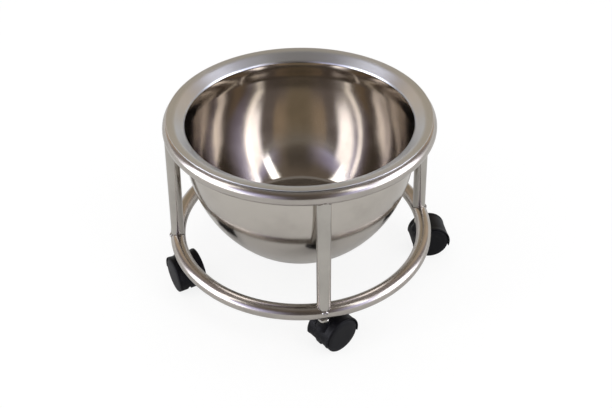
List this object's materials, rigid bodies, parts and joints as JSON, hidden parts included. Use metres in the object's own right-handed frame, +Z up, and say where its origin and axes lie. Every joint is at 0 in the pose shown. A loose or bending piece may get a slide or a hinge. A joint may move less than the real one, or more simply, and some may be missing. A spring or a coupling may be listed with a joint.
{
  "type": "kick bucket",
  "caption": "Round stainless bowl with a wide flange, hung loosely in a low tubular stand with splayed legs between two rings, rolling on twin-wheel swivel casters.",
  "frame": {"origin": "on the floor under the centre of the bowl and of both rings", "axes": "+Z up along the bowl's axis, -Y towards the front leg, +X towards the right leg"},
  "size_m": [0.44, 0.4347, 0.2721],
  "materials": {
    "polished_steel": "polished stainless sheet",
    "tube_steel": "polished stainless tube",
    "plated_steel": "zinc plated",
    "hood_plastic": "satin black nylon",
    "wheel_plastic": "satin black nylon"
  },
  "bodies": {
    "stand": {"top_hoop": "tube_steel", "bottom_ring": "tube_steel", "leg_front": "tube_steel", "leg_right": "tube_steel", "leg_back": "tube_steel", "leg_left": "tube_steel", "front_caster_nut": "plated_steel", "front_caster_stem": "plated_steel", "front_caster_clip": "plated_steel", "right_caster_nut": "plated_steel", "right_caster_stem": "plated_steel", "right_caster_clip": "plated_steel", "back_caster_nut": "plated_steel", "back_caster_stem": "plated_steel", "back_caster_clip": "plated_steel", "left_caster_nut": "plated_steel", "left_caster_stem": "plated_steel", "left_caster_clip": "plated_steel"},
    "bowl": {"bowl": "polished_steel"},
    "front_caster": {"front_caster_hood": "hood_plastic", "front_caster_axle": "plated_steel"},
    "front_left_wheel": {"front_caster_left_wheel": "wheel_plastic"},
    "front_right_wheel": {"front_caster_right_wheel": "wheel_plastic"},
    "right_caster": {"right_caster_hood": "hood_plastic", "right_caster_axle": "plated_steel"},
    "right_left_wheel": {"right_caster_left_wheel": "wheel_plastic"},
    "right_right_wheel": {"right_caster_right_wheel": "wheel_plastic"},
    "back_caster": {"back_caster_hood": "hood_plastic", "back_caster_axle": "plated_steel"},
    "back_left_wheel": {"back_caster_left_wheel": "wheel_plastic"},
    "back_right_wheel": {"back_caster_right_wheel": "wheel_plastic"},
    "left_caster": {"left_caster_hood": "hood_plastic", "left_caster_axle": "plated_steel"},
    "left_left_wheel": {"left_caster_left_wheel": "wheel_plastic"},
    "left_right_wheel": {"left_caster_right_wheel": "wheel_plastic"}
  },
  "joints": [
    {"name": "bowl_lift", "type": "slide", "parent": "stand", "child": "bowl", "axis": [0, 0, 1], "range_m": [0, 0.2]},
    {"name": "front_swivel", "type": "hinge", "parent": "stand", "child": "front_caster", "pos_m": [0, -0.185, 0.045], "axis": [0, 0, 1], "continuous": true},
    {"name": "right_swivel", "type": "hinge", "parent": "stand", "child": "right_caster", "pos_m": [0.18465, -0.01129, 0.045], "axis": [0, 0, 1], "continuous": true},
    {"name": "back_swivel", "type": "hinge", "parent": "stand", "child": "back_caster", "pos_m": [0, 0.185, 0.045], "axis": [0, 0, 1], "continuous": true},
    {"name": "left_swivel", "type": "hinge", "parent": "stand", "child": "left_caster", "pos_m": [-0.18465, -0.01129, 0.045], "axis": [0, 0, 1], "continuous": true},
    {"name": "front_left_roll", "type": "hinge", "parent": "front_caster", "child": "front_left_wheel", "pos_m": [0.01465, -0.17637, 0.026], "axis": [-0.5075, 0.8616, 0], "continuous": true},
    {"name": "front_right_roll", "type": "hinge", "parent": "front_caster", "child": "front_right_wheel", "pos_m": [0.01465, -0.17637, 0.026], "axis": [-0.5075, 0.8616, 0], "continuous": true},
    {"name": "right_left_roll", "type": "hinge", "parent": "right_caster", "child": "right_left_wheel", "pos_m": [0.20163, -0.01218, 0.026], "axis": [0.0523, 0.9986, 0], "continuous": true},
    {"name": "right_right_roll", "type": "hinge", "parent": "right_caster", "child": "right_right_wheel", "pos_m": [0.20163, -0.01218, 0.026], "axis": [0.0523, 0.9986, 0], "continuous": true},
    {"name": "back_left_roll", "type": "hinge", "parent": "back_caster", "child": "back_left_wheel", "pos_m": [-0.01472, 0.1935, 0.026], "axis": [-0.5, -0.866, 0], "continuous": true},
    {"name": "back_right_roll", "type": "hinge", "parent": "back_caster", "child": "back_right_wheel", "pos_m": [-0.01472, 0.1935, 0.026], "axis": [-0.5, -0.866, 0], "continuous": true},
    {"name": "left_left_roll", "type": "hinge", "parent": "left_caster", "child": "left_left_wheel", "pos_m": [-0.17884, -0.02727, 0.026], "axis": [0.9397, 0.342, 0], "continuous": true},
    {"name": "left_right_roll", "type": "hinge", "parent": "left_caster", "child": "left_right_wheel", "pos_m": [-0.17884, -0.02727, 0.026], "axis": [0.9397, 0.342, 0], "continuous": true}
  ]
}
